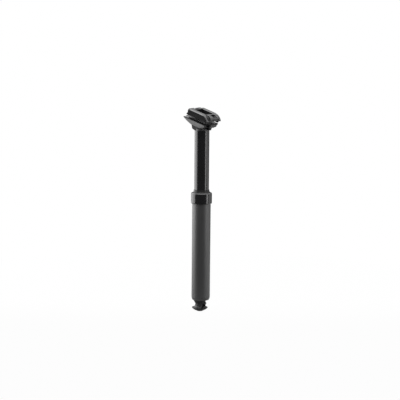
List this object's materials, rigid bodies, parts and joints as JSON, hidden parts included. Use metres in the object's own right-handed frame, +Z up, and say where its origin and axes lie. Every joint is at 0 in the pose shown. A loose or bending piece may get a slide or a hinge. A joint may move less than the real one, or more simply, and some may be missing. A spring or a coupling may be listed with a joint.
{
  "type": "dropper seatpost",
  "caption": "Telescopic bicycle seatpost with a gas spring, a two-bolt tilting saddle clamp and a cable rocker in the bell at its foot.",
  "frame": {"origin": "on the post's axis at the underside of the seal collar, where the tube goes into the seat tube", "axes": "+Z up along the post, +X towards the front of the bicycle, +Y to its left"},
  "size_m": [0.0492, 0.053, 0.3488],
  "materials": {
    "satin_black_tube": "satin black anodised",
    "gloss_black_tube": "polished black anodised",
    "forged_black": "bead blasted black anodised",
    "black_rubber": "matt",
    "bush_plastic": "plain bearing liner",
    "key_brass": "machined",
    "bolt_steel": "black oxide",
    "spring_alloy": "machined",
    "bright_steel": "ground and plated"
  },
  "bodies": {
    "lower_post": {"lower_tube": "satin_black_tube", "seal_collar": "gloss_black_tube", "wiper_seal": "black_rubber", "stanchion_seal": "black_rubber", "upper_bushing": "bush_plastic", "top_out_bumper": "black_rubber", "bottom_out_bumper": "black_rubber", "actuator_housing": "satin_black_tube", "rocker_pin": "bright_steel", "piston_rod": "bright_steel", "piston": "spring_alloy", "piston_ring": "black_rubber", "piston_nut": "bolt_steel"},
    "upper_post": {"stanchion": "gloss_black_tube", "head": "forged_black", "lower_bushing": "bush_plastic", "guide_keys": "key_brass", "gas_tube": "spring_alloy", "gas_tube_cap": "spring_alloy", "rod_gland": "spring_alloy", "rod_seal": "black_rubber", "gland_snap_ring": "bright_steel", "anchor_screw": "bolt_steel"},
    "float": {"floating_piston": "spring_alloy", "floating_piston_ring": "black_rubber"},
    "cradle": {"lower_cradle": "forged_black"},
    "top_clamp": {"upper_clamp": "forged_black"},
    "bolt_front": {"front_bolt": "bolt_steel", "front_half_moon": "bolt_steel"},
    "bolt_rear": {"rear_bolt": "bolt_steel", "rear_half_moon": "bolt_steel"},
    "nut_front": {"front_barrel_nut": "bolt_steel"},
    "nut_rear": {"rear_barrel_nut": "bolt_steel"},
    "rocker": {"rocker_lever": "spring_alloy"},
    "barrel": {"cable_barrel": "key_brass", "barrel_screw": "bolt_steel"},
    "valve": {"valve_pin": "bright_steel"}
  },
  "joints": [
    {"name": "post_drop", "type": "slide", "parent": "lower_post", "child": "upper_post", "axis": [0, 0, -1], "range_m": [0, 0.1], "stiffness_N_per_m": 500, "springref_m": -0.4},
    {"name": "float_slide", "type": "slide", "parent": "upper_post", "child": "float", "axis": [0, 0, 1], "range_m": [0, 0.0286]},
    {"name": "saddle_tilt", "type": "hinge", "parent": "upper_post", "child": "cradle", "pos_m": [0, 0, 0.1441], "axis": [0, 1, 0], "range_deg": [-10, 10]},
    {"name": "clamp_lift", "type": "slide", "parent": "cradle", "child": "top_clamp", "axis": [0.342, 0, 0.9397], "range_m": [0, 0.002]},
    {"name": "front_bolt_swing", "type": "hinge", "parent": "upper_post", "child": "bolt_front", "pos_m": [0.01431, 0, 0.1308], "axis": [0, 1, 0], "range_deg": [-5.1, 5.1]},
    {"name": "rear_bolt_swing", "type": "hinge", "parent": "upper_post", "child": "bolt_rear", "pos_m": [-0.01951, 0, 0.14311], "axis": [0, 1, 0], "range_deg": [-5.1, 5.1]},
    {"name": "front_nut_turn", "type": "hinge", "parent": "top_clamp", "child": "nut_front", "pos_m": [0.01951, 0, 0.14508], "axis": [0, 1, 0], "range_deg": [-5.1, 5.1]},
    {"name": "rear_nut_turn", "type": "hinge", "parent": "top_clamp", "child": "nut_rear", "pos_m": [-0.01431, 0, 0.1574], "axis": [0, 1, 0], "range_deg": [-5.1, 5.1]},
    {"name": "rocker_swing", "type": "hinge", "parent": "lower_post", "child": "rocker", "pos_m": [0.003, 0, -0.1725], "axis": [0, 1, 0], "range_deg": [-0.1, 20.1]},
    {"name": "barrel_turn", "type": "hinge", "parent": "rocker", "child": "barrel", "pos_m": [0.0069, 0, -0.1725], "axis": [0, 1, 0], "range_deg": [-20.2, 0.2]},
    {"name": "valve_lift", "type": "slide", "parent": "lower_post", "child": "valve", "axis": [0, 0, 1], "range_m": [0, 0.00105], "stiffness_N_per_m": 200, "springref_m": -0.01}
  ],
  "couplings": [
    {"joint": "float_slide", "follows": "post_drop", "ratio": 0.28444},
    {"joint": "front_bolt_swing", "follows": "saddle_tilt", "ratio": 0.5},
    {"joint": "rear_bolt_swing", "follows": "saddle_tilt", "ratio": 0.5},
    {"joint": "front_nut_turn", "follows": "saddle_tilt", "ratio": -0.5},
    {"joint": "rear_nut_turn", "follows": "saddle_tilt", "ratio": -0.5},
    {"joint": "rocker_swing", "follows": "valve_lift", "rad_per_m": 333.33},
    {"joint": "barrel_turn", "follows": "valve_lift", "rad_per_m": -333.33}
  ]
}
